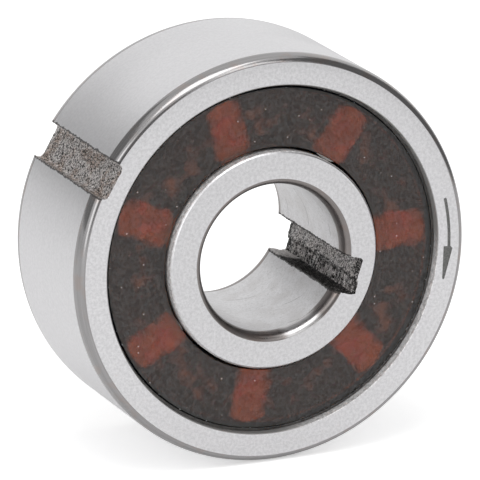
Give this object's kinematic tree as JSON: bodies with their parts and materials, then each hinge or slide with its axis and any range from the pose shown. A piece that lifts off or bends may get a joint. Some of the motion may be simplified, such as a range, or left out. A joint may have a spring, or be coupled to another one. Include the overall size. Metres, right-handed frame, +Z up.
{
  "type": "sprag clutch",
  "caption": "One-way clutch bearing: balls and tilting sprags in one cage between two keyed rings, closed by snap-in shields.",
  "frame": {"origin": "centre of the bore, at mid width", "axes": "+Y along the bore axis, from the front face with the arrow to the back; +Z up as the part stands on its rim"},
  "size_m": [0.022, 0.009, 0.022],
  "materials": {
    "ring_steel": "ground",
    "ball_steel": "polished",
    "sprag_steel": "honed",
    "amber_plastic": "translucent brown, slightly rough",
    "cage_plastic": "moulded, matt",
    "spring_wire": "drawn wire"
  },
  "bodies": {
    "inner": {"inner_ring": "ring_steel"},
    "outer": {"outer_ring": "ring_steel", "front_shield": "amber_plastic", "rear_shield": "amber_plastic"},
    "cage": {"cage": "cage_plastic", "front_spring": "spring_wire", "rear_spring": "spring_wire"},
    "ball_1": {"ball_1": "ball_steel"},
    "ball_2": {"ball_2": "ball_steel"},
    "ball_3": {"ball_3": "ball_steel"},
    "ball_4": {"ball_4": "ball_steel"},
    "ball_5": {"ball_5": "ball_steel"},
    "ball_6": {"ball_6": "ball_steel"},
    "ball_7": {"ball_7": "ball_steel"},
    "sprag_1": {"sprag_1": "sprag_steel"},
    "sprag_2": {"sprag_2": "sprag_steel"},
    "sprag_3": {"sprag_3": "sprag_steel"},
    "sprag_4": {"sprag_4": "sprag_steel"},
    "sprag_5": {"sprag_5": "sprag_steel"},
    "sprag_6": {"sprag_6": "sprag_steel"},
    "sprag_7": {"sprag_7": "sprag_steel"}
  },
  "joints": [
    {"name": "outer_spin", "type": "hinge", "parent": "inner", "child": "outer", "pos_m": [0, 0, 0], "axis": [0, 1, 0], "range_deg": [0, 990]},
    {"name": "cage_orbit", "type": "hinge", "parent": "inner", "child": "cage", "pos_m": [0, 0, 0], "axis": [0, 1, 0], "range_deg": [0, 613.1]},
    {"name": "ball_1_spin", "type": "hinge", "parent": "cage", "child": "ball_1", "pos_m": [0.00091, 0, 0.00734], "axis": [0, 1, 0], "range_deg": [0, 1977.1]},
    {"name": "ball_2_spin", "type": "hinge", "parent": "cage", "child": "ball_2", "pos_m": [-0.00517, 0, 0.00529], "axis": [0, 1, 0], "range_deg": [0, 1977.1]},
    {"name": "ball_3_spin", "type": "hinge", "parent": "cage", "child": "ball_3", "pos_m": [-0.00736, 0, -0.00074], "axis": [0, 1, 0], "range_deg": [0, 1977.1]},
    {"name": "ball_4_spin", "type": "hinge", "parent": "cage", "child": "ball_4", "pos_m": [-0.00401, 0, -0.00622], "axis": [0, 1, 0], "range_deg": [0, 1977.1]},
    {"name": "ball_5_spin", "type": "hinge", "parent": "cage", "child": "ball_5", "pos_m": [0.00236, 0, -0.00701], "axis": [0, 1, 0], "range_deg": [0, 1977.1]},
    {"name": "ball_6_spin", "type": "hinge", "parent": "cage", "child": "ball_6", "pos_m": [0.00696, 0, -0.00253], "axis": [0, 1, 0], "range_deg": [0, 1977.1]},
    {"name": "ball_7_spin", "type": "hinge", "parent": "cage", "child": "ball_7", "pos_m": [0.00631, 0, 0.00386], "axis": [0, 1, 0], "range_deg": [0, 1977.1]},
    {"name": "sprag_1_tilt", "type": "hinge", "parent": "cage", "child": "sprag_1", "pos_m": [0.0041, 0, 0.00616], "axis": [0, 1, 0], "range_deg": [0, 5], "stiffness_Nm_per_rad": 0.0001, "springref_deg": -5.73},
    {"name": "sprag_2_tilt", "type": "hinge", "parent": "cage", "child": "sprag_2", "pos_m": [-0.00227, 0, 0.00704], "axis": [0, 1, 0], "range_deg": [0, 5], "stiffness_Nm_per_rad": 0.0001, "springref_deg": -5.73},
    {"name": "sprag_3_tilt", "type": "hinge", "parent": "cage", "child": "sprag_3", "pos_m": [-0.00692, 0, 0.00262], "axis": [0, 1, 0], "range_deg": [0, 5], "stiffness_Nm_per_rad": 0.0001, "springref_deg": -5.73},
    {"name": "sprag_4_tilt", "type": "hinge", "parent": "cage", "child": "sprag_4", "pos_m": [-0.00636, 0, -0.00378], "axis": [0, 1, 0], "range_deg": [0, 5], "stiffness_Nm_per_rad": 0.0001, "springref_deg": -5.73},
    {"name": "sprag_5_tilt", "type": "hinge", "parent": "cage", "child": "sprag_5", "pos_m": [-0.00102, 0, -0.00733], "axis": [0, 1, 0], "range_deg": [0, 5], "stiffness_Nm_per_rad": 0.0001, "springref_deg": -5.73},
    {"name": "sprag_6_tilt", "type": "hinge", "parent": "cage", "child": "sprag_6", "pos_m": [0.0051, 0, -0.00536], "axis": [0, 1, 0], "range_deg": [0, 5], "stiffness_Nm_per_rad": 0.0001, "springref_deg": -5.73},
    {"name": "sprag_7_tilt", "type": "hinge", "parent": "cage", "child": "sprag_7", "pos_m": [0.00737, 0, 0.00064], "axis": [0, 1, 0], "range_deg": [0, 5], "stiffness_Nm_per_rad": 0.0001, "springref_deg": -5.73}
  ],
  "couplings": [
    {"joint": "cage_orbit", "follows": "outer_spin", "ratio": 0.61824},
    {"joint": "ball_1_spin", "follows": "outer_spin", "ratio": 1.996},
    {"joint": "ball_2_spin", "follows": "outer_spin", "ratio": 1.996},
    {"joint": "ball_3_spin", "follows": "outer_spin", "ratio": 1.996},
    {"joint": "ball_4_spin", "follows": "outer_spin", "ratio": 1.996},
    {"joint": "ball_5_spin", "follows": "outer_spin", "ratio": 1.996},
    {"joint": "ball_6_spin", "follows": "outer_spin", "ratio": 1.996},
    {"joint": "ball_7_spin", "follows": "outer_spin", "ratio": 1.996},
    {"joint": "sprag_2_tilt", "follows": "sprag_1_tilt", "ratio": 1},
    {"joint": "sprag_3_tilt", "follows": "sprag_1_tilt", "ratio": 1},
    {"joint": "sprag_4_tilt", "follows": "sprag_1_tilt", "ratio": 1},
    {"joint": "sprag_5_tilt", "follows": "sprag_1_tilt", "ratio": 1},
    {"joint": "sprag_6_tilt", "follows": "sprag_1_tilt", "ratio": 1},
    {"joint": "sprag_7_tilt", "follows": "sprag_1_tilt", "ratio": 1}
  ]
}
